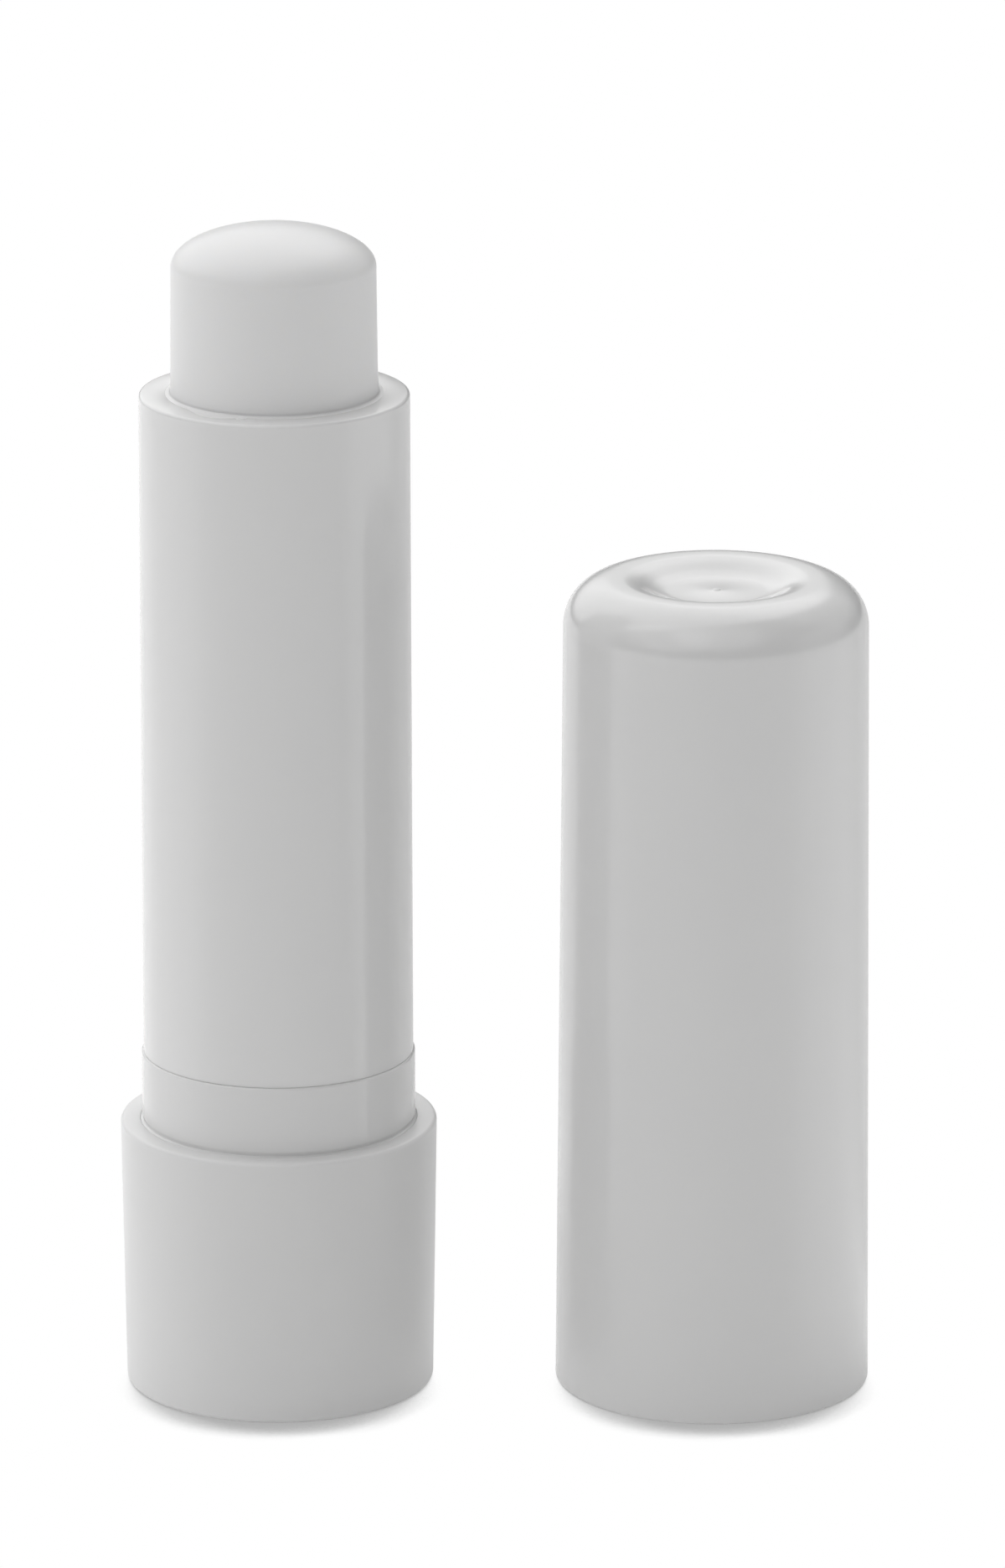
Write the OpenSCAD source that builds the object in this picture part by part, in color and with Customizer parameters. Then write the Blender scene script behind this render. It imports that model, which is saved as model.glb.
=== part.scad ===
// Lip balm stick with its cap taken off. Millimetres, +Z up.
// The origin is the centre of the knob's underside, on the stick's axis.
// Radii are built outwards from the balm, so every fit follows the piece inside it.

/* [Balm] */
// Radius of the balm at its foot
balm_r = 6.2; // [5:0.05:9]
// How much narrower the balm is at the edge of its dome
balm_draft = 0.12; // [0:0.01:0.4]
// Length of the balm from its foot to the edge of its dome
balm_l = 37.8; // [32:0.1:44]
// Height of the dome on the balm
dome_h = 2.3; // [1:0.1:4]
// Height of the cone at the top of the balm's core
core_tip_h = 1.2; // [0.4:0.1:2]
// How far the edge of the dome stands above the rim, as modelled
balm_out = 8.2; // [6:0.1:10]
// How far below the rim the tip goes when it is wound right down
tip_sink = 0.5; // [0.2:0.1:2]

/* [Cup that carries the balm] */
// Height of the cup's skirt above its floor
skirt_h = 7.5; // [5:0.1:10]
// Wall of the skirt
skirt_wall = 0.8; // [0.5:0.05:1.2]
// Thickness of the cup's floor
cup_floor_t = 1; // [0.6:0.1:2]
// Radius of the nut under the floor
hub_r = 3.3; // [3:0.1:4.5]
// Height of the nut under the floor
hub_h = 5.5; // [4:0.1:8]
// Width of the two lugs that stop the cup from turning
lug_w = 1.4; // [0.8:0.1:2.5]
// Height of the lugs, down from the top of the skirt
lug_h = 4; // [2:0.1:5]

/* [Spindle] */
// Radius over the thread
thread_r = 2.2; // [2:0.05:2.5]
// Radius of the core between the threads
core_r = 1.5; // [1.2:0.05:1.7]
// Width of one thread across the spindle
thread_w = 1.6; // [1:0.1:1.8]
// Rise of the balm in one turn of the knob
lead = 5; // [4:0.1:8]
// Radius of the plain shank below the thread
shank_r = 2.6; // [2.3:0.1:3]
// Radius over the corners of the six-sided foot
foot_r = 3.4; // [3.2:0.1:4]
// Height of the six-sided foot
foot_h = 3; // [2:0.1:4]
// Length of the tapered tip
tip_h = 0.8; // [0.3:0.1:1.5]

/* [Barrel] */
// Wall of the barrel around the cup
barrel_wall = 0.85; // [0.7:0.05:1.5]
// Depth of the two key slots in the barrel's bore
slot_depth = 0.4; // [0.2:0.05:0.5]
// Height of the glossy collar
collar_h = 3.8; // [2:0.1:8]
// Step from the sleeve out to the collar
collar_step = 0.11; // [0.05:0.01:0.6]
// Edge round at the collar's foot
collar_foot_round = 0.25; // [0.1:0.05:0.5]
// Edge round at the collar's top
collar_top_round = 0.06; // [0.02:0.01:0.06]
// Step from the collar in to the neck
neck_step = 0.27; // [0.2:0.01:0.5]
// Length of the neck inside the knob
neck_l = 11.5; // [8:0.1:11.9]
// Height of the snap bead on the neck
bead_step = 0.28; // [0.1:0.01:0.4]
// Half of the bead's height along the neck
bead_half = 0.6; // [0.3:0.05:1]
// Distance of the bead above the neck's lower end
bead_up = 3; // [2:0.1:5]

/* [Outer sleeve] */
// Wall of the sleeve at its foot
sleeve_wall = 0.91; // [0.7:0.01:1.5]
// How much narrower the sleeve is at its rim
sleeve_draft = 0.09; // [0:0.01:0.2]
// Height of the sleeve above the collar
sleeve_h = 40.7; // [38:0.1:44]
// Thickness of the rim that turns in over the barrel
rim_t = 1.3; // [0.8:0.1:2]
// Edge round of the rim
rim_round = 0.45; // [0.1:0.05:0.6]

/* [Knob] */
// Height of the knob
knob_h = 16.5; // [15:0.1:24]
// Width of the flat ring on top of the knob
knob_ring_w = 1.15; // [1:0.05:3]
// How much narrower the knob is at its foot
knob_draft = 0.25; // [0:0.01:0.3]
// Edge round at the knob's foot
knob_foot_round = 0.45; // [0.1:0.05:1]
// Edge round at the knob's top
knob_top_round = 0.15; // [0.05:0.05:0.4]
// Thickness of the knob's floor
knob_floor_t = 1.4; // [0.8:0.1:2]
// Step from the knob's bore out to its wider mouth
mouth_step = 0.34; // [0.1:0.01:0.6]
// Depth of the wider mouth
mouth_depth = 0.9; // [0.4:0.1:2]
// Wall of the socket that holds the spindle's foot
socket_wall = 1; // [0.6:0.1:1.6]

/* [Cap] */
// Wall of the cap at its mouth
cap_wall = 1.06; // [0.8:0.01:2]
// How much narrower the cap is outside, under its shoulder
cap_draft = 0.38; // [0:0.01:0.5]
// How much narrower the cap is inside, at its top
cap_inner_draft = 0.22; // [0:0.01:0.25]
// Height of the gripping band inside the mouth
land_h = 4; // [2:0.1:6]
// Distance of the gripping band from the mouth
land_up = 0.5; // [0.3:0.1:2]
// Step from the gripping band out to the rest of the bore
land_step = 0.15; // [0.05:0.01:0.4]
// Room between the rim and the inside of the cap's top
cap_headroom = 3.2; // [2.6:0.1:10]
// Thickness of the cap's top under its crest
cap_top_t = 1.86; // [1.5:0.02:3]
// Edge round of the cap's shoulder
shoulder_r = 2.8; // [1:0.1:3.5]
// Edge round inside the cap's top
inner_round = 1.8; // [0.5:0.1:2.4]
// Edge round at the cap's mouth
cap_mouth_round = 0.2; // [0.05:0.05:0.3]
// Outer radius of the dimple in the cap's top
dimple_r = 5.6; // [3:0.1:5.8]
// Radius of the dimple's flat floor
dimple_floor_r = 2.9; // [1:0.1:2.9]
// Depth of the dimple
dimple_depth = 0.7; // [0.2:0.05:0.9]
// Radius of the moulding mark in the dimple
gate_r = 0.25; // [0.1:0.05:0.6]
// Height of the moulding mark
gate_h = 0.1; // [0.05:0.05:0.3]
// Space between the knob and the cap that stands beside it
cap_apart = 7.2; // [2:0.1:40]

/* [Clearances] */
// Balm to barrel bore
balm_clear = 0.15; // [0.1:0.01:0.4]
// Balm to the rim's hole
rim_clear = 0.1; // [0.08:0.01:0.4]
// Cup and lugs to barrel
cup_clear = 0.1; // [0.05:0.01:0.12]
// Balm to the cup that it was cast in
cast_gap = 0.02; // [0.01:0.01:0.05]
// Nut to spindle
nut_clear = 0.12; // [0.08:0.01:0.2]
// Spindle to the bore in the balm and the cup's floor
spindle_clear = 0.25; // [0.15:0.01:0.5]
// Spindle's foot to its socket
foot_clear = 0.03; // [0.01:0.01:0.1]
// Barrel to sleeve
sleeve_clear = 0.03; // [0.01:0.01:0.1]
// Neck and bead to knob
neck_clear = 0.08; // [0.02:0.01:0.1]
// Bead to the ends of its groove
bead_clear = 0.15; // [0.05:0.01:0.4]
// Collar to knob, along the axis
collar_gap = 0.5; // [0.1:0.1:2]
// Cap's gripping band to collar
cap_clear = 0.04; // [0.02:0.01:0.1]
// End play of the cup at its upper and lower stops
stop_gap = 0.3; // [0.1:0.1:1]

/* [Hidden] */
$fn = 96;
// Steps of a round edge, of a long curve, and of one turn of the thread
round_steps = 8;
curve_steps = 24;
turn_steps = 20;
thread_fn = 16;
// Overlap of a cut past the face that it opens
cut = 0.1;

// Radii, from the balm outwards
bore_r = balm_r + balm_clear;
skirt_r = bore_r - cup_clear;
skirt_in_r = skirt_r - skirt_wall;
guide_r = bore_r + barrel_wall;
sleeve_in_r = guide_r + sleeve_clear;
sleeve_r = sleeve_in_r + sleeve_wall;
rim_r = sleeve_r - sleeve_draft;
rim_hole_r = balm_r + rim_clear;
collar_r = sleeve_r + collar_step;
neck_r = collar_r - neck_step;
bead_r = neck_r + bead_step;
knob_bore_r = neck_r + neck_clear;
groove_r = bead_r + neck_clear;
mouth_r = knob_bore_r + mouth_step;
knob_r = mouth_r + knob_ring_w;
knob_foot_r = knob_r - knob_draft;
socket_r = foot_r + foot_clear;
stem_r = thread_r + spindle_clear;
land_r = collar_r + cap_clear;
cap_in_r = land_r + land_step;
cap_r = cap_in_r + cap_wall;
cap_x = knob_r + cap_apart + cap_r;

// Key slots: their outer radius, and the radial length of a lug and of the block that cuts a slot
slot_r = bore_r + slot_depth;
lug_l = skirt_wall + slot_depth;

// Section of the nut's thread
nut_core_r = core_r + nut_clear;
nut_thread_r = thread_r + nut_clear;
nut_thread_w = thread_w + 2 * nut_clear;

// Heights, from the foot upwards
foot_top = knob_floor_t + foot_h;
neck_z = knob_h - neck_l;
bead_z = neck_z + bead_up;
collar_z = knob_h + collar_gap;
ledge_z = collar_z + collar_h;
rim_z = ledge_z + sleeve_h;
barrel_top = rim_z - rim_t - stop_gap / 2;
edge_z = rim_z + balm_out;
balm_z = edge_z - balm_l;
cup_z = balm_z - cup_floor_t;
hub_z = cup_z - hub_h;
skirt_top = balm_z + skirt_h;

// Travel of the balm from where it is modelled
down = balm_out + dome_h + tip_sink;
up = rim_z - rim_t - stop_gap - skirt_top;
shank_top = hub_z - down - stop_gap;
spindle_top = hub_z + up + hub_h;
stem_top = spindle_top + down + stop_gap;

// Heights of the cap, from its mouth
cap_in_h = rim_z - knob_h + cap_headroom;
cap_h = cap_in_h + cap_top_t;
crest_r = cap_r - cap_draft - shoulder_r;
vault_r = cap_in_r - cap_inner_draft - inner_round;

// Points along an arc, from angle a to angle b
function arc(x, z, r, a, b, steps = round_steps) =
    [for (i = [0:steps])
        let (turn = a + (b - a) * i / steps)
        [x + r * cos(turn), z + r * sin(turn)]];

// Round of size e on the lower or the upper outer edge at radius r and height z
function round_foot(r, z, e, steps = round_steps) = arc(r - e, z + e, e, -90, 0, steps);
function round_top(r, z, e, steps = round_steps) = arc(r - e, z - e, e, 0, 90, steps);

// Points of a quarter of an ellipse, from its edge up to the axis
function dome(r, z, h) =
    [for (i = [0:curve_steps])
        let (turn = 90 * i / curve_steps)
        [r * cos(turn), z + h * sin(turn)]];

// Points of a soft dip, from its outer edge in to its floor
function dip(r_out, r_in, z, depth) =
    [for (i = [0:curve_steps])
        let (part = i / curve_steps)
        [r_out + (r_in - r_out) * part, z - depth * (1 - cos(180 * part)) / 2]];

// Section of the spindle: a round core with a thread on each side
module thread_section(core, crest, width) {
    circle(core, $fn = thread_fn);
    intersection() {
        circle(crest, $fn = thread_fn);
        square([3 * crest, width], center = true);
    }
}

// Left-hand thread between two heights, in step with every other call
module thread(z_low, z_high, core, crest, width) {
    translate([0, 0, z_low])
        rotate([0, 0, -360 * z_low / lead])
            linear_extrude(
                z_high - z_low,
                twist = 360 * (z_high - z_low) / lead,
                slices = ceil(turn_steps * (z_high - z_low) / lead),
                $fn = thread_fn
            )
                thread_section(core, crest, width);
}

// Wide base that is turned to wind the balm up and down
module base_knob() {
    color([0.93, 0.93, 0.93]) {
        rotate_extrude()
            polygon(concat(
                [[0, 0]],
                round_foot(knob_foot_r, 0, knob_foot_round),
                round_top(knob_r, knob_h, knob_top_round, 4),
                [
                    [mouth_r, knob_h],
                    [mouth_r, knob_h - mouth_depth],
                    [knob_bore_r, knob_h - mouth_depth - mouth_step],
                    [knob_bore_r, bead_z + bead_half + bead_clear + bead_step],
                    [groove_r, bead_z + bead_half + bead_clear],
                    [groove_r, bead_z - bead_half - bead_clear],
                    [knob_bore_r, bead_z - bead_half - bead_clear - bead_step],
                    [knob_bore_r, knob_floor_t],
                    [0, knob_floor_t]
                ]
            ));
        difference() {
            translate([0, 0, knob_floor_t - cut])
                cylinder(foot_h + cut, r = socket_r + socket_wall);
            translate([0, 0, knob_floor_t])
                cylinder(foot_h + cut, r = socket_r, $fn = 6);
        }
    }
}

// Threaded rod that stands in the knob and turns with it
module screw_spindle() {
    color([0.88, 0.88, 0.87]) {
        translate([0, 0, knob_floor_t])
            cylinder(foot_h, r = foot_r, $fn = 6);
        translate([0, 0, foot_top - cut])
            cylinder(shank_top - foot_top + cut, r = shank_r);
        thread(shank_top - cut, spindle_top - tip_h, core_r, thread_r, thread_w);
        translate([0, 0, spindle_top - tip_h - cut])
            cylinder(tip_h + cut, r1 = core_r, r2 = core_r / 2);
    }
}

// Inner tube: neck inside the knob, glossy collar, and the guide for the cup
module barrel() {
    color([0.9, 0.9, 0.9])
        difference() {
            rotate_extrude()
                polygon(concat(
                    [
                        [bore_r, neck_z],
                        [neck_r - bead_step, neck_z],
                        [neck_r, neck_z + bead_step],
                        [neck_r, bead_z - bead_half - bead_step],
                        [bead_r, bead_z - bead_half],
                        [bead_r, bead_z + bead_half],
                        [neck_r, bead_z + bead_half + bead_step],
                        [neck_r, collar_z]
                    ],
                    round_foot(collar_r, collar_z, collar_foot_round),
                    round_top(collar_r, ledge_z, collar_top_round, 4),
                    [
                        [guide_r, ledge_z],
                        [guide_r, barrel_top],
                        [bore_r, barrel_top]
                    ]
                ));
            for (side = [-1, 1])
                translate([side * (slot_r - lug_l / 2), 0, (neck_z + barrel_top) / 2])
                    cube([lug_l, lug_w + 2 * cup_clear, barrel_top - neck_z + 2 * cut], center = true);
        }
}

// Outer tube over the barrel, with the flat rim that turns in around the balm
module outer_sleeve() {
    color([0.94, 0.94, 0.94])
        rotate_extrude()
            polygon(concat(
                [
                    [sleeve_in_r, ledge_z],
                    [sleeve_r, ledge_z]
                ],
                round_top(rim_r, rim_z, rim_round),
                [
                    [rim_hole_r, rim_z],
                    [rim_hole_r, rim_z - rim_t],
                    [sleeve_in_r, rim_z - rim_t]
                ]
            ));
}

// Cup under the balm, with two lugs in the key slots and a nut on the spindle
module balm_cup() {
    color([0.88, 0.88, 0.87])
        difference() {
            union() {
                rotate_extrude()
                    polygon([
                        [0, cup_z],
                        [skirt_r, cup_z],
                        [skirt_r, skirt_top],
                        [skirt_in_r, skirt_top],
                        [skirt_in_r, balm_z],
                        [0, balm_z]
                    ]);
                translate([0, 0, hub_z])
                    cylinder(hub_h + cut, r = hub_r);
                for (side = [-1, 1])
                    translate([side * (slot_r - cup_clear - lug_l / 2), 0, skirt_top - lug_h / 2])
                        cube([lug_l, lug_w, lug_h], center = true);
            }
            translate([0, 0, balm_z])
                cylinder(skirt_h + cut, r = skirt_in_r);
            translate([0, 0, cup_z])
                cylinder(cup_floor_t + cut, r = stem_r);
            thread(hub_z - cut, cup_z + cut, nut_core_r, nut_thread_r, nut_thread_w);
        }
}

// Cast balm, cored where the spindle runs up into it
module balm() {
    color([0.95, 0.95, 0.94])
        rotate_extrude()
            polygon(concat(
                [
                    [stem_r, balm_z],
                    [skirt_in_r - cast_gap, balm_z],
                    [skirt_in_r - cast_gap, skirt_top + cast_gap],
                    [balm_r, skirt_top + cast_gap]
                ],
                dome(balm_r - balm_draft, edge_z, dome_h),
                [
                    [0, stem_top + core_tip_h],
                    [stem_r, stem_top]
                ]
            ));
}

// Cap standing mouth down beside the stick, with a dimple in its top
module cap() {
    color([0.92, 0.92, 0.92])
        translate([cap_x, 0, 0])
            rotate_extrude()
                polygon(concat(
                    [
                        [land_r + land_step, 0],
                        [cap_r - cap_mouth_round, 0]
                    ],
                    round_foot(cap_r, 0, cap_mouth_round, 4),
                    arc(crest_r, cap_h - shoulder_r, shoulder_r, 0, 90, 2 * round_steps),
                    dip(dimple_r, dimple_floor_r, cap_h, dimple_depth),
                    [
                        [gate_r, cap_h - dimple_depth],
                        [gate_r * 0.8, cap_h - dimple_depth + gate_h],
                        [0, cap_h - dimple_depth + gate_h],
                        [0, cap_in_h]
                    ],
                    arc(vault_r, cap_in_h - inner_round, inner_round, 90, 0),
                    [
                        [cap_in_r, land_up + land_h + land_step],
                        [land_r, land_up + land_h],
                        [land_r, land_up]
                    ]
                ));
}

base_knob();
screw_spindle();
barrel();
outer_sleeve();
balm_cup();
balm();
cap();
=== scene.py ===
# %% [markdown]
# # A twist-up lip balm stick and its cap
#
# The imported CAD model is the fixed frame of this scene: it says where each piece is, how large it is and
# how it moves. The script dresses that frame for a product photograph on white. Each step first says what
# the piece or the finish is on the real object and how it could be made, and then makes it.

# %% Load the frame
from math import ceil, cos, pi, radians, sin

import bmesh
import bpy
from mathutils import Matrix, Vector


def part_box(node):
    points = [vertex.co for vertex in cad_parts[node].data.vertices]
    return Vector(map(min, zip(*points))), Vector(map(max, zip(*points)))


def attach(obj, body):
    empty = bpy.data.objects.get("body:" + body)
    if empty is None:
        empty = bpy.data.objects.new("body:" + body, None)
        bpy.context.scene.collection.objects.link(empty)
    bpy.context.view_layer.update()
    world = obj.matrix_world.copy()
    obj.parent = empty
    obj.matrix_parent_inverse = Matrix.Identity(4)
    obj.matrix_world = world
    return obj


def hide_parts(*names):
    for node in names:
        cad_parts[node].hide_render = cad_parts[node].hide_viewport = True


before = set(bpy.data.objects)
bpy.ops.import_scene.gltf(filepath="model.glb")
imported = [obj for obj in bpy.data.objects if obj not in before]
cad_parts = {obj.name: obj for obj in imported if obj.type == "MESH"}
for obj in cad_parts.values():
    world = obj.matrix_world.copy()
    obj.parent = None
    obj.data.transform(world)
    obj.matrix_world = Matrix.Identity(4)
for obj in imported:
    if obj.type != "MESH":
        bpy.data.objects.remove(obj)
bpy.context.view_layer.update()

print("CAD nodes:", ", ".join(sorted(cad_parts)))

# %% [markdown]
# ## Camera
#
# The photograph looks down at the stick by about sixteen degrees, from straight in front and from far
# away, because both rows of edges stay almost parallel. A long lens at more than half a metre gives the
# same small perspective. The camera comes first, so that every later step can be looked at through it.

# %% Camera
MM = 0.001
LENS_MM = 235.6
LOOK_DOWN = radians(16.28)
CAMERA_PLACE = Vector((13.52, -589.9, 209.6)) * MM

camera_data = bpy.data.cameras.new("camera")
camera_data.lens = LENS_MM
camera_data.sensor_width = 36
camera_data.clip_start = 0.01
camera_data.clip_end = 20
camera = bpy.data.objects.new("camera", camera_data)
camera.location = CAMERA_PLACE
camera.rotation_euler = (pi / 2 - LOOK_DOWN, 0, 0)
bpy.context.scene.collection.objects.link(camera)
bpy.context.scene.camera = camera
print("camera:", LENS_MM, "mm lens,", round(CAMERA_PLACE.length, 3), "m from the foot")

# %% [markdown]
# ## How the round pieces are made
#
# Everything on this object was moulded or cast round an axis, so every piece that is remade here is turned
# on a lathe too. An outline of a few corners is drawn in the XZ plane, and each corner that the real mould
# has rounded is bevelled while the outline is still a chain of edges: that is quicker than a bevel of the
# finished ring, and the round can be as large as the edge beside it allows. The chain is then spun
# through a full turn with `use_merge`, its doubles on the axis are merged into one pole, and the normals
# are worked out last.
#
# A tube has a closed chain, and a piece with a closed end has an open chain that starts and ends on the
# axis. All the sizes below are in millimetres, and NEAR is how close two of them have to be to count as
# the same.

# %% The outline and the lathe
STEPS = 192
SEGMENT_MM = 0.09
NEAR = 0.01


def outline(corners, closed=False):
    """A chain of edges through corners (radius, height) or (radius, height, round), in millimetres."""
    bm = bmesh.new()
    chain = [bm.verts.new((corner[0], 0, corner[1])) for corner in corners]
    following = chain[1:] + (chain[:1] if closed else [])
    for start, end in zip(chain, following):
        bm.edges.new((start, end))
    for vertex, corner in zip(chain, corners):
        if len(corner) > 2:
            bmesh.ops.bevel(bm, geom=[vertex], offset=corner[2],
                            segments=min(24, 3 + ceil(corner[2] / SEGMENT_MM)), profile=0.5,
                            affect="VERTICES", material=-1)
    return bm


def turn(bm, centre_x=0.0):
    """Spins the outline about the upright axis, in millimetres, and closes its seam and poles."""
    bmesh.ops.spin(bm, geom=bm.verts[:] + bm.edges[:], cent=(0, 0, 0), axis=(0, 0, 1),
                   angle=2 * pi, steps=STEPS, use_merge=True)
    bmesh.ops.remove_doubles(bm, verts=bm.verts, dist=1e-4)
    bmesh.ops.translate(bm, verts=bm.verts, vec=(centre_x, 0, 0))
    bmesh.ops.recalc_face_normals(bm, faces=bm.faces)
    return bm


# %% [markdown]
# A turned mesh becomes an object in metres. Its edges are smooth where the mould is smooth and sharp
# where two faces meet at a real corner. A Weighted Normal modifier keeps the long walls straight in the
# light: without it the small rounds would pull the shading of the large faces beside them.

# %% From mesh to piece
SHARP_ANGLE = radians(35)


def piece_from(bm, name, body, node):
    """Makes the object, hides the CAD node that it stands for, and prints how far the two differ."""
    bmesh.ops.scale(bm, verts=bm.verts, vec=(MM, MM, MM))
    for face in bm.faces:
        face.smooth = True
    for edge in bm.edges:
        edge.smooth = edge.calc_face_angle(0) < SHARP_ANGLE
    loose = sum(1 for edge in bm.edges if not edge.is_manifold)
    mesh = bpy.data.meshes.new(name)
    bm.to_mesh(mesh)
    bm.free()
    piece = bpy.data.objects.new(name, mesh)
    bpy.context.scene.collection.objects.link(piece)
    weights = piece.modifiers.new("flat walls", "WEIGHTED_NORMAL")
    weights.keep_sharp = True
    if node:
        low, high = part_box(node)
        points = [vertex.co for vertex in mesh.vertices]
        off = max(max(abs(low[i] - min(p[i] for p in points)), abs(high[i] - max(p[i] for p in points)))
                  for i in range(3))
        print(f"{name}: box within {off / MM:.3f} mm of {node}")
        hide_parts(node)
    print(f"{name}: {len(mesh.polygons)} faces, {loose} open edges")
    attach(piece, body)
    return piece


# %% [markdown]
# ## Knob
#
# The wide base is one thick moulding. Outside it is a slightly tapered drum with a fine round at the foot
# and another on top, which catches the light. Inside it is a bore with a groove, where the barrel's bead
# snaps in, and a six-sided socket that drives the spindle. The socket is turned round with the rest, and
# its inner ring is then pulled in onto a hexagon, since a lathe can only make circles.

# %% Turn the knob
KNOB_R, KNOB_FOOT_R, KNOB_H = 9.55, 9.3, 16.5
KNOB_BORE_R, GROOVE_R, MOUTH_R = 8.06, 8.34, 8.37
GROOVE_LOW, GROOVE_HIGH, SNAP_SLOPE = 7.25, 8.75, 0.28
MOUTH_Z, MOUTH_SLOPE = 15.6, 0.34
SOCKET_R, SOCKET_WALL, SOCKET_TOP, FLOOR_T = 3.43, 1.0, 4.4, 1.4

knob_bm = turn(outline([
    (0, 0), (KNOB_FOOT_R, 0, 0.3), (KNOB_R, KNOB_H, 0.25), (MOUTH_R, KNOB_H, 0.03),
    (MOUTH_R, MOUTH_Z), (KNOB_BORE_R, MOUTH_Z - MOUTH_SLOPE),
    (KNOB_BORE_R, GROOVE_HIGH + SNAP_SLOPE), (GROOVE_R, GROOVE_HIGH), (GROOVE_R, GROOVE_LOW),
    (KNOB_BORE_R, GROOVE_LOW - SNAP_SLOPE), (KNOB_BORE_R, FLOOR_T, 0.3),
    (SOCKET_R + SOCKET_WALL, FLOOR_T, 0.15), (SOCKET_R + SOCKET_WALL, SOCKET_TOP, 0.1),
    (SOCKET_R, SOCKET_TOP), (SOCKET_R, FLOOR_T), (0, FLOOR_T),
]))
for vertex in knob_bm.verts:
    radius = vertex.co.xy.length
    if abs(radius - SOCKET_R) < NEAR and vertex.co.z > FLOOR_T - NEAR:
        side = (vertex.co.xy.angle_signed(Vector((1, 0))) % (pi / 3)) - pi / 6
        flat = SOCKET_R * cos(pi / 6) / cos(side)
        vertex.co.xy *= flat / radius
knob = piece_from(knob_bm, "knob_moulding", "knob", "base_knob")

# %% [markdown]
# ## Barrel and collar
#
# The barrel is the inner tube. Its lower end is the neck with the snap bead, hidden in the knob. Above the
# knob it swells into the glossy collar that the cap grips, and above the collar it is the guide that the
# cup slides in. Two key slots run down its bore and keep the cup from turning.
#
# In the photograph there is no dark gap between the collar and the knob, only a soft grey band. The
# collar's foot has a small round and a shallow waist below it, and a thin lip under the waist fills the
# knob's mouth and keeps dust out.
#
# The slots are made after the spin. The faces of the bore and of both ends that lie in a slot's sector
# are deleted, the two open arcs are bridged to make the slot's floor, and the gaps at its sides are
# filled. A Boolean could cut them too, but it would leave long thin faces all round the bore.

# %% Turn the barrel
BORE_R, SLOT_R, GUIDE_R, NECK_R, BEAD_R, COLLAR_R = 6.35, 6.75, 7.2, 7.98, 8.26, 8.25
WAIST_R, LIP_R, LIP_Z, LIP_TOP = 8.2, 8.36, 15.9, 16.49
NECK_Z, BEAD_LOW, BEAD_HIGH, COLLAR_Z, LEDGE_Z, BARREL_TOP = 5.0, 7.4, 8.6, 16.75, 20.8, 60.05
SLOT_STEPS = 4

barrel_bm = turn(outline([
    (BORE_R, NECK_Z), (SLOT_R, NECK_Z), (NECK_R - SNAP_SLOPE, NECK_Z, 0.05), (NECK_R, NECK_Z + SNAP_SLOPE),
    (NECK_R, BEAD_LOW - SNAP_SLOPE), (BEAD_R, BEAD_LOW, 0.08), (BEAD_R, BEAD_HIGH, 0.08),
    (NECK_R, BEAD_HIGH + SNAP_SLOPE), (NECK_R, LIP_Z, 0.1),
    (LIP_R, LIP_Z, 0.08), (LIP_R, LIP_TOP, 0.03), (WAIST_R, LIP_TOP + 0.06, 0.03),
    (WAIST_R, COLLAR_Z - 0.1, 0.04), (COLLAR_R, COLLAR_Z, 0.1),
    (COLLAR_R, LEDGE_Z, 0.15), (GUIDE_R, LEDGE_Z),
    (GUIDE_R, BARREL_TOP, 0.1), (SLOT_R, BARREL_TOP), (BORE_R, BARREL_TOP),
], closed=True))


def cut_key_slot(bm, side):
    """Opens a slot in the bore on the +X or the -X side, and gives it a floor and two walls."""
    reach = 2 * pi / STEPS * (SLOT_STEPS + 0.5)
    inside = [face for face in bm.faces
              if face.calc_center_median().xy.length < SLOT_R - NEAR
              and abs(face.calc_center_median().xy.angle_signed(Vector((side, 0)))) < reach - pi / STEPS]
    bmesh.ops.delete(bm, geom=inside, context="FACES")
    open_edges = [edge for edge in bm.edges if edge.is_boundary]
    arcs = [edge for edge in open_edges if all(abs(v.co.xy.length - SLOT_R) < NEAR for v in edge.verts)]
    bmesh.ops.bridge_loops(bm, edges=arcs)
    gaps = [edge for edge in bm.edges if edge.is_boundary]
    bmesh.ops.holes_fill(bm, edges=gaps, sides=6)


for side in (-1, 1):
    cut_key_slot(barrel_bm, side)
bmesh.ops.recalc_face_normals(barrel_bm, faces=barrel_bm.faces)
barrel = piece_from(barrel_bm, "barrel_moulding", "stick", "barrel")

# %% [markdown]
# ## Sleeve
#
# The sleeve is the tube that a hand holds. It stands on the collar's ledge, tapers by less than a tenth of
# a millimetre, and turns in at the top to a flat rim round the balm. Its outer top edge is nearly sharp,
# and the thin dark seam above the collar is the tiny round at its foot.

# %% Turn the sleeve
SLEEVE_IN_R, SLEEVE_R, RIM_R, RIM_HOLE_R, RIM_Z, RIM_T = 7.23, 8.14, 8.05, 6.3, 61.5, 1.3

sleeve_bm = turn(outline([
    (SLEEVE_IN_R, LEDGE_Z), (SLEEVE_R, LEDGE_Z, 0.06), (RIM_R, RIM_Z, 0.2),
    (RIM_HOLE_R, RIM_Z, 0.06), (RIM_HOLE_R, RIM_Z - RIM_T), (SLEEVE_IN_R, RIM_Z - RIM_T),
], closed=True))
sleeve = piece_from(sleeve_bm, "sleeve_moulding", "stick", "outer_sleeve")

# %% [markdown]
# ## Balm
#
# The balm is cast, so it has the smooth, slightly drafted wall of its mould and a low dome. Above the rim
# its wall is a little narrower, since the rim has wiped it. The dome is drawn with a compass: one vertex is
# spun through a quarter turn about the edge's centre, which gives a quarter circle, and a scale flattens
# that to the ellipse of the real tip. The core up the middle lets the spindle run into the balm when it is
# wound down.

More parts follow.
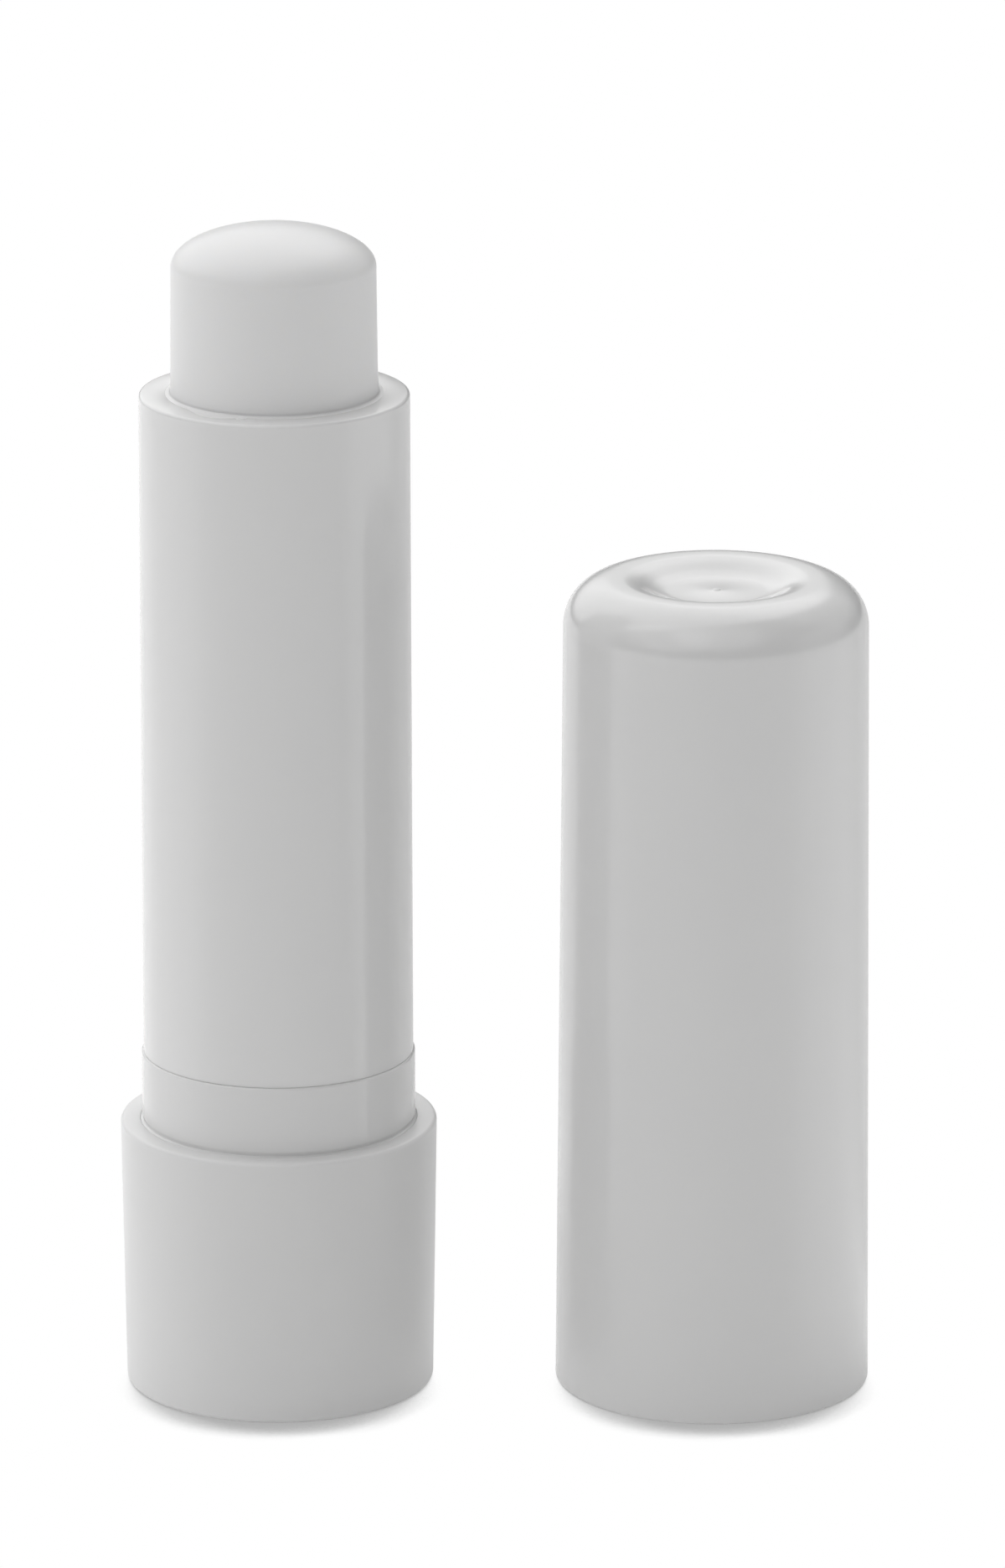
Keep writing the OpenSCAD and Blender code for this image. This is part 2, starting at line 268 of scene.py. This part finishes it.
# %% Turn the balm
BALM_R, WIPED_R, BALM_EDGE_R = 6.19, 6.14, 6.08
EDGE_Z, DOME_H, DOME_STEPS = 69.17, 2.4, 32
CAST_R, SKIRT_TOP, BALM_Z = 5.43, 39.42, 31.9
CORE_R, CORE_TOP, CORE_POINT = 2.45, 62.7, 1.2
FILM_CLIMB = 0.12

balm_bm = outline([
    (0, CORE_TOP + CORE_POINT), (CORE_R, CORE_TOP, 0.2), (CORE_R, BALM_Z), (CAST_R, BALM_Z, 0.1),
    (CAST_R, SKIRT_TOP), (BALM_R, SKIRT_TOP, 0.1), (BALM_R, RIM_Z + FILM_CLIMB, 0.05),
    (WIPED_R, RIM_Z + FILM_CLIMB + 1.2, 0.6), (BALM_EDGE_R, EDGE_Z),
])
edge_vertex = [v for v in balm_bm.verts if abs(v.co.z - EDGE_Z) < 1e-4]
bmesh.ops.spin(balm_bm, geom=edge_vertex, cent=(0, 0, EDGE_Z), axis=(0, 1, 0), angle=-pi / 2,
               steps=DOME_STEPS)
dome = [v for v in balm_bm.verts if v.co.z > EDGE_Z + 1e-4]
bmesh.ops.scale(balm_bm, verts=dome, vec=(1, 1, DOME_H / BALM_EDGE_R),
                space=Matrix.Translation((0, 0, -EDGE_Z)))
balm = piece_from(turn(balm_bm), "balm_casting", "carriage", "balm")

# %% [markdown]
# ## Film of balm on the rim
#
# The balm is a little narrower than the rim's hole, but the photograph shows no gap there, because a thin
# film of balm has been wiped off on the rim. It is a thin ring whose inner edge climbs up the balm in a
# hollow curve, with a wider smear at the front left that ends in a crumb. The ring is turned like the
# rest, and its outer edge is then pushed out where the smear lies. It stays on the rim when the balm
# moves, so it belongs to the stick.

# %% Turn the film and spread its smear
FILM_IN_R, FILM_OUT_R, FILM_T, FILM_DEPTH, SUNK = 6.2, 6.42, 0.012, 0.3, 0.005
SMEAR_AT, SMEAR_REACH, SMEAR_OUT = radians(-122), radians(22), 0.6
CRUMB_AT, CRUMB_REACH, CRUMB_H = radians(-106), radians(3), 0.06


def hump(angle, reach):
    """One at nought, falling smoothly to nought at reach on both sides."""
    return (1 + cos(pi * min(abs(angle) / reach, 1))) / 2


film_bm = turn(outline([
    (FILM_IN_R, RIM_Z - FILM_DEPTH), (FILM_IN_R, RIM_Z + FILM_CLIMB),
    (FILM_IN_R + 0.01, RIM_Z + FILM_T, 0.1),
    (FILM_OUT_R, RIM_Z + FILM_T * 0.6, 0.04),
    (FILM_OUT_R + 0.1, RIM_Z - SUNK), (RIM_HOLE_R - SUNK, RIM_Z - SUNK),
    (RIM_HOLE_R - SUNK, RIM_Z - FILM_DEPTH),
], closed=True))
for vertex in film_bm.verts:
    at = Vector((1, 0)).angle_signed(vertex.co.xy)
    radius = vertex.co.xy.length
    smear, crumb = hump(-at - SMEAR_AT, SMEAR_REACH), hump(-at - CRUMB_AT, CRUMB_REACH)
    if radius > RIM_HOLE_R + 0.1:
        vertex.co.xy *= (radius + SMEAR_OUT * max(smear, 0.9 * crumb)) / radius
    if vertex.co.z > RIM_Z and radius > FILM_IN_R + 0.1:
        vertex.co.z += 0.01 * smear + CRUMB_H * crumb
film = piece_from(film_bm, "rim_film", "stick", None)

# %% [markdown]
# ## Cap
#
# The cap stands mouth down. Its large shoulder rolls up to a crest and down again into a shallow dimple
# with a flat floor, where the point of the moulding gate is left. The slope into the dimple is the
# stretch between two wide bevels. Inside the mouth is the band that grips the collar.

# %% Turn the cap
cap_low, cap_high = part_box("cap")
CAP_X = (cap_low.x + cap_high.x) / 2 / MM
CAP_R, CAP_TOP_R, CAP_H, SHOULDER_R = 9.5, 9.097, 50.06, 2.8
DIMPLE_DEPTH, GATE_R, GATE_H = 0.7, 0.25, 0.1
DIMPLE_R, CREST_R, DIMPLE_ROUND = 3.5, 5.0, 0.6
LAND_R, LAND_LOW, LAND_HIGH = 8.29, 0.5, 4.5
CAP_IN_R, VAULT_R, VAULT_ROUND, CAP_IN_H = 8.44, 8.22, 1.8, 48.2

floor_z = CAP_H - DIMPLE_DEPTH
cap_bm = turn(outline([
    (0, floor_z + GATE_H), (GATE_R * 0.6, floor_z + GATE_H, 0.06), (GATE_R, floor_z, 0.06),
    (DIMPLE_R, floor_z, DIMPLE_ROUND), (CREST_R, CAP_H, DIMPLE_ROUND), (CAP_TOP_R, CAP_H, SHOULDER_R),
    (CAP_R, 0, 0.2), (CAP_IN_R, 0), (LAND_R, LAND_LOW), (LAND_R, LAND_HIGH), (CAP_IN_R, LAND_HIGH + 0.15),
    (VAULT_R, CAP_IN_H, VAULT_ROUND), (0, CAP_IN_H),
]), CAP_X)
cap = piece_from(cap_bm, "cap_moulding", "cap", "cap")

# %% [markdown]
# ## Shader sums in Python
#
# A finish is a tree of nodes. To keep it readable, an output socket is wrapped in a small class whose
# operators add Math nodes, so a mask can be written as `1 - mask`. Every other node comes from one
# method that sets the node's options first and its inputs after that.

# %% A socket that can be summed
class Wire:
    """An output socket. Operators on it add Math nodes to its tree."""

    def __init__(self, finish, socket):
        self.finish, self.socket = finish, socket

    def maths(self, operation, *others, swapped=False):
        terms = (*others, self) if swapped else (self, *others)
        return self.finish.add("ShaderNodeMath", {"operation": operation}, dict(enumerate(terms)))

    def __add__(self, other):
        return self.maths("ADD", other)

    def __sub__(self, other):
        return self.maths("SUBTRACT", other)

    def __rsub__(self, other):
        return self.maths("SUBTRACT", other, swapped=True)

    def __mul__(self, other):
        return self.maths("MULTIPLY", other)

    __radd__ = __add__
    __rmul__ = __mul__


class Finish:
    """The node tree of a material or of the world."""

    def __init__(self, owner):
        owner.use_nodes = True
        self.nodes, self.links = owner.node_tree.nodes, owner.node_tree.links
        self.nodes.clear()

    def add(self, kind, settings=None, inputs=None, output=0):
        node = self.nodes.new(kind)
        for key, value in (settings or {}).items():
            setattr(node, key, value)
        for key, value in (inputs or {}).items():
            if isinstance(value, Wire):
                self.links.new(value.socket, node.inputs[key])
            else:
                node.inputs[key].default_value = value
        return Wire(self, node.outputs[output]) if node.outputs else None


# %% [markdown]
# ## White mouldings
#
# All the plastic is the same white, but each part came out of its own mould. What tells them apart is
# the surface: the knob was spark-eroded to a fine matt grain, the sleeve and the cap have a soft gloss,
# and the collar is polished so that the cap slides on. A flat colour would lose all of that, so one
# function makes a moulded plastic from three layers of noise. Wide clouds shift the tone by a hair, as
# the flow of the plastic does. A middle noise varies the gloss where the surface has been handled. The
# finest one is the mould's grain, and it goes through a Bump node with its height in metres. White
# plastic also lets a little light in, which softens its edges: that is the subsurface share.

# %% Moulded plastic
CLOUD_MM, HANDLED_MM = 7.0, 1.6


def shade(tone, lift=0.0):
    """A near-neutral grey as a colour, a little warmer where lift is above nought."""
    return (tone, tone * (1 - 0.002 * lift), tone * (1 - 0.006 * lift), 1)


def moulded_plastic(name, tone, roughness, spread, grain_mm, grain_depth_mm, shine=0.5, glow_mm=0.25,
                    centre_x=0.0, wave_depth_mm=0.0):
    """A white plastic with mould grain of a size and height. Light goes about glow_mm deep into it."""
    material = bpy.data.materials.new(name)
    finish = Finish(material)
    place = finish.add("ShaderNodeTexCoord", output="Object")
    centred = finish.add("ShaderNodeMapping", {}, {"Vector": place, "Location": (-centre_x * MM, 0, 0)})
    clouds = finish.add("ShaderNodeTexNoise", {},
                        {"Vector": centred, "Scale": 1 / (CLOUD_MM * MM), "Detail": 3.0})
    handled = finish.add("ShaderNodeTexNoise", {},
                         {"Vector": centred, "Scale": 1 / (HANDLED_MM * MM), "Detail": 5.0})
    grain = finish.add("ShaderNodeTexNoise", {},
                       {"Vector": centred, "Scale": 1 / (grain_mm * MM), "Detail": 2.0, "Roughness": 0.6})
    colour = finish.add("ShaderNodeMix", {"data_type": "RGBA"},
                        {0: clouds, 6: shade(tone * 0.985), 7: shade(tone * 1.01, 1)}, output=2)
    gloss = roughness + spread * (0.6 * handled + 0.4 * grain - 0.5)
    height = grain * (grain_depth_mm * MM) + clouds * (wave_depth_mm * MM)
    relief = finish.add("ShaderNodeBump", {}, {"Strength": 1.0, "Distance": 1.0, "Height": height})
    surface = finish.add("ShaderNodeBsdfPrincipled", {}, {
        "Base Color": colour, "Roughness": gloss, "Normal": relief, "IOR": 1.5, "Specular IOR Level": shine,
        "Subsurface Weight": 0.5, "Subsurface Radius": (1.0, 1.0, 1.0), "Subsurface Scale": glow_mm * MM,
    })
    finish.add("ShaderNodeOutputMaterial", {}, {"Surface": surface})
    print(f"{name}: tone {tone}, roughness {roughness} within {spread / 2:.3f}, grain {grain_mm} mm")
    return material


knob_plastic = moulded_plastic("knob_plastic", 0.83, 0.30, 0.08, 0.16, 0.003, shine=0.6)
collar_plastic = moulded_plastic("collar_plastic", 0.83, 0.07, 0.03, 0.30, 0.0002, shine=0.8,
                                 wave_depth_mm=0.001)
sleeve_plastic = moulded_plastic("sleeve_plastic", 0.85, 0.15, 0.04, 0.12, 0.0003, shine=1.1, glow_mm=0.3,
                                 wave_depth_mm=0.001)
cap_plastic = moulded_plastic("cap_plastic", 0.84, 0.18, 0.05, 0.12, 0.0005, shine=0.9, centre_x=CAP_X,
                              wave_depth_mm=0.001)
inner_plastic = moulded_plastic("inner_plastic", 0.84, 0.42, 0.10, 0.14, 0.002)

# %% [markdown]
# ## Balm wax
#
# The balm is softer to the eye than the plastic: light goes into it and comes out again, so its dome has
# no hard shadow. It is a Principled surface with more subsurface light, a smooth waxy sheen, faint
# clouds where the melt cooled, and the slight dimpling of a cast skin. The film on the rim is too thin
# for that: light that went into it would be lost below, so its wax keeps all light on the surface, and
# it is a little greyer, since the rim shows through.

# %% Balm wax
MELT_MM, SKIN_MM = 3.5, 0.5


def cast_wax(name, tone, glow):
    """The white balm, with a cooled skin. The share glow of its light goes in and comes out again."""
    material = bpy.data.materials.new(name)
    finish = Finish(material)
    place = finish.add("ShaderNodeTexCoord", output="Object")
    melt = finish.add("ShaderNodeTexNoise", {},
                      {"Vector": place, "Scale": 1 / (MELT_MM * MM), "Detail": 3.0})
    skin = finish.add("ShaderNodeTexNoise", {},
                      {"Vector": place, "Scale": 1 / (SKIN_MM * MM), "Detail": 3.0})
    colour = finish.add("ShaderNodeMix", {"data_type": "RGBA"},
                        {0: melt, 6: shade(tone, 1), 7: shade(tone + 0.02, 0)}, output=2)
    gloss = 0.34 + 0.10 * (skin - 0.5)
    height = skin * (0.002 * MM) + melt * (0.006 * MM)
    relief = finish.add("ShaderNodeBump", {}, {"Strength": 1.0, "Distance": 1.0, "Height": height})
    surface = finish.add("ShaderNodeBsdfPrincipled", {}, {
        "Base Color": colour, "Roughness": gloss, "Normal": relief, "IOR": 1.44,
        "Subsurface Weight": glow, "Subsurface Radius": (1.0, 0.98, 0.94), "Subsurface Scale": 0.4 * MM,
    })
    finish.add("ShaderNodeOutputMaterial", {}, {"Surface": surface})
    return material


balm_wax = cast_wax("balm_wax", 0.935, 0.8)
wiped_wax = cast_wax("wiped_wax", 0.88, 0.0)

# %% Dress the pieces
for piece, material in ((knob, knob_plastic), (barrel, collar_plastic), (sleeve, sleeve_plastic),
                        (balm, balm_wax), (film, wiped_wax), (cap, cap_plastic)):
    piece.data.materials.append(material)
for node in ("screw_spindle", "balm_cup"):
    node_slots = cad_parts[node].material_slots
    for node_slot in node_slots:
        node_slot.material = inner_plastic
    print(node, "dressed,", len(node_slots), "slot")

# %% [markdown]
# ## Light
#
# White on white is lit by its surroundings: the shapes read only because the studio is brighter on one
# side than on the other. The photograph gives that away. The left edges are bright, the tube's right
# edge mirrors the cap as a dark band, and the cap's shoulder mirrors a large softbox overhead.
#
# The studio is therefore drawn as a few softboxes in the world, each a round patch of light in one
# direction, with a soft border. Parts of the floor glow too, and show in the grazing edges of the walls.

# %% A patch of light
def aim(azimuth, elevation=0.0):
    """A direction, from degrees clockwise from straight behind the object and degrees above the floor."""
    side, up = radians(azimuth), radians(elevation)
    return Vector((sin(side) * cos(up), cos(side) * cos(up), sin(up)))


def patch_of_light(finish, direction, azimuth, elevation, half_angle, border):
    """One within half_angle degrees of the aim and nought outside, over a border of some degrees."""
    nearness = finish.add("ShaderNodeVectorMath", {"operation": "DOT_PRODUCT"},
                          {0: direction, 1: aim(azimuth, elevation)}, output="Value")
    return finish.add("ShaderNodeMapRange", {"interpolation_type": "SMOOTHSTEP"}, {
        "Value": nearness,
        "From Min": cos(radians(half_angle + border)), "From Max": cos(radians(half_angle - border)),
    })


# %% [markdown]
# To the camera the studio is plain white, so the world shows its softboxes only to the rays that bounce
# off the object.

# %% Studio
SOFTBOXES = {
    # name: azimuth, elevation, half angle, border, brightness
    "main": (325, 50, 46, 4, 1.15),
    "front": (180, 50, 28, 8, 0.67),
    "front left": (225, 40, 28, 8, 0.57),
    "behind right": (45, 40, 28, 8, 0.44),
    "low right": (90, 5, 26, 8, 0.44),
}
SKY_LEVEL, SKY_TOP = 0.11, 0.4


def light_world(softboxes, sky_level):
    world = bpy.data.worlds.new("studio")
    bpy.context.scene.world = world
    finish = Finish(world)
    direction = finish.add("ShaderNodeTexCoord", output="Generated")
    height = finish.add("ShaderNodeSeparateXYZ", {}, {0: direction}, output="Z")
    level = finish.add("ShaderNodeMapRange", {"interpolation_type": "SMOOTHSTEP"},
                       {"Value": height, "From Min": 0.0, "From Max": SKY_TOP}) * sky_level
    for azimuth, elevation, half_angle, border, brightness in softboxes.values():
        softbox = patch_of_light(finish, direction, azimuth, elevation, half_angle, border)
        level = level + brightness * softbox
    camera_ray = finish.add("ShaderNodeLightPath", output="Is Camera Ray")
    shown = finish.add("ShaderNodeMix", {"data_type": "FLOAT"}, {0: camera_ray, 2: level, 3: 1.0})
    backdrop = finish.add("ShaderNodeBackground", {}, {"Color": (1, 1, 1, 1), "Strength": shown})
    finish.add("ShaderNodeOutputWorld", {}, {"Surface": backdrop})


light_world(SOFTBOXES, SKY_LEVEL)
bpy.context.scene.view_settings.view_transform = "Standard"
print("studio:", ", ".join(SOFTBOXES))

# %% [markdown]
# ## Floor
#
# The photograph's floor is so bright that only a narrow soft shadow is left where the pieces touch it. It
# is wide in front of them and thin at their sides, because the light comes from behind and above. This
# shadow is drawn and not cast: an Ambient Occlusion node of a few millimetres' reach makes it, with its
# normal leant towards the back, so it stays narrow however bright the floor is.
#
# That is what the camera sees. To the light the floor is a plain white card with a painted glow: faint near
# the pieces, and three brighter patches further out that stand for lamps round it.

# %% Floor
FLOOR_SIZE = 1.6
SHADOW_REACH = 4.0 * MM
SHADOW_LEAN = 75
SHADOW_FULL, SHADOW_NONE, SHADOW_GREY = 0.49, 0.69, 0.43
GLOW_FROM, GLOW_TO = 18 * MM, 45 * MM
FLOOR_GLOW = {
    # name: azimuth, half angle, border, brightness
    "behind left": (325, 25, 12, 0.33),
    "left": (270, 22, 12, 0.24),
    "right": (90, 22, 12, 0.36),
}
NEAR_GLOW = 0.08
CARD_GREY = 0.88

floor_bm = bmesh.new()
bmesh.ops.create_grid(floor_bm, x_segments=1, y_segments=1, size=FLOOR_SIZE)
floor_mesh = bpy.data.meshes.new("floor")
floor_bm.to_mesh(floor_mesh)
floor_bm.free()
floor = bpy.data.objects.new("floor", floor_mesh)
bpy.context.scene.collection.objects.link(floor)


def light_floor(glow, near_glow):
    material = bpy.data.materials.new("floor")
    paper = Finish(material)
    lean = paper.add("ShaderNodeCombineXYZ", {}, dict(enumerate(aim(0, 90 - SHADOW_LEAN))))
    open_sky = paper.add("ShaderNodeAmbientOcclusion", {"samples": 16},
                         {"Distance": SHADOW_REACH, "Normal": lean}, output="AO")
    white = paper.add("ShaderNodeMapRange", {}, {
        "Value": open_sky, "From Min": SHADOW_FULL, "From Max": SHADOW_NONE,
        "To Min": SHADOW_GREY, "To Max": 1.0,
    })
    seen = paper.add("ShaderNodeEmission", {}, {"Color": white, "Strength": 1.0})
    place = paper.add("ShaderNodeTexCoord", output="Object")
    away = paper.add("ShaderNodeVectorMath", {"operation": "SUBTRACT"},
                     {0: place, 1: (CAP_X / 2 * MM, 0, 0)})
    distance = paper.add("ShaderNodeVectorMath", {"operation": "LENGTH"}, {0: away}, output="Value")
    direction = paper.add("ShaderNodeVectorMath", {"operation": "NORMALIZE"}, {0: away})
    far = paper.add("ShaderNodeMapRange", {"interpolation_type": "SMOOTHSTEP"},
                    {"Value": distance, "From Min": GLOW_FROM, "From Max": GLOW_TO})
    level = near_glow * (1 - far)
    for azimuth, half_angle, border, brightness in glow.values():
        level = level + brightness * far * patch_of_light(paper, direction, azimuth, 0, half_angle, border)
    card = paper.add("ShaderNodeBsdfDiffuse", {}, {"Color": (CARD_GREY, CARD_GREY, CARD_GREY, 1)})
    glowing = paper.add("ShaderNodeEmission", {}, {"Strength": level})
    felt = paper.add("ShaderNodeAddShader", {}, {0: card, 1: glowing})
    camera_ray = paper.add("ShaderNodeLightPath", output="Is Camera Ray")
    both = paper.add("ShaderNodeMixShader", {}, {0: camera_ray, 1: felt, 2: seen})
    paper.add("ShaderNodeOutputMaterial", {}, {"Surface": both})
    return material


floor_mesh.materials.append(light_floor(FLOOR_GLOW, NEAR_GLOW))
print("floor:", 2 * FLOOR_SIZE, "m wide, glow from the", ", ".join(FLOOR_GLOW))
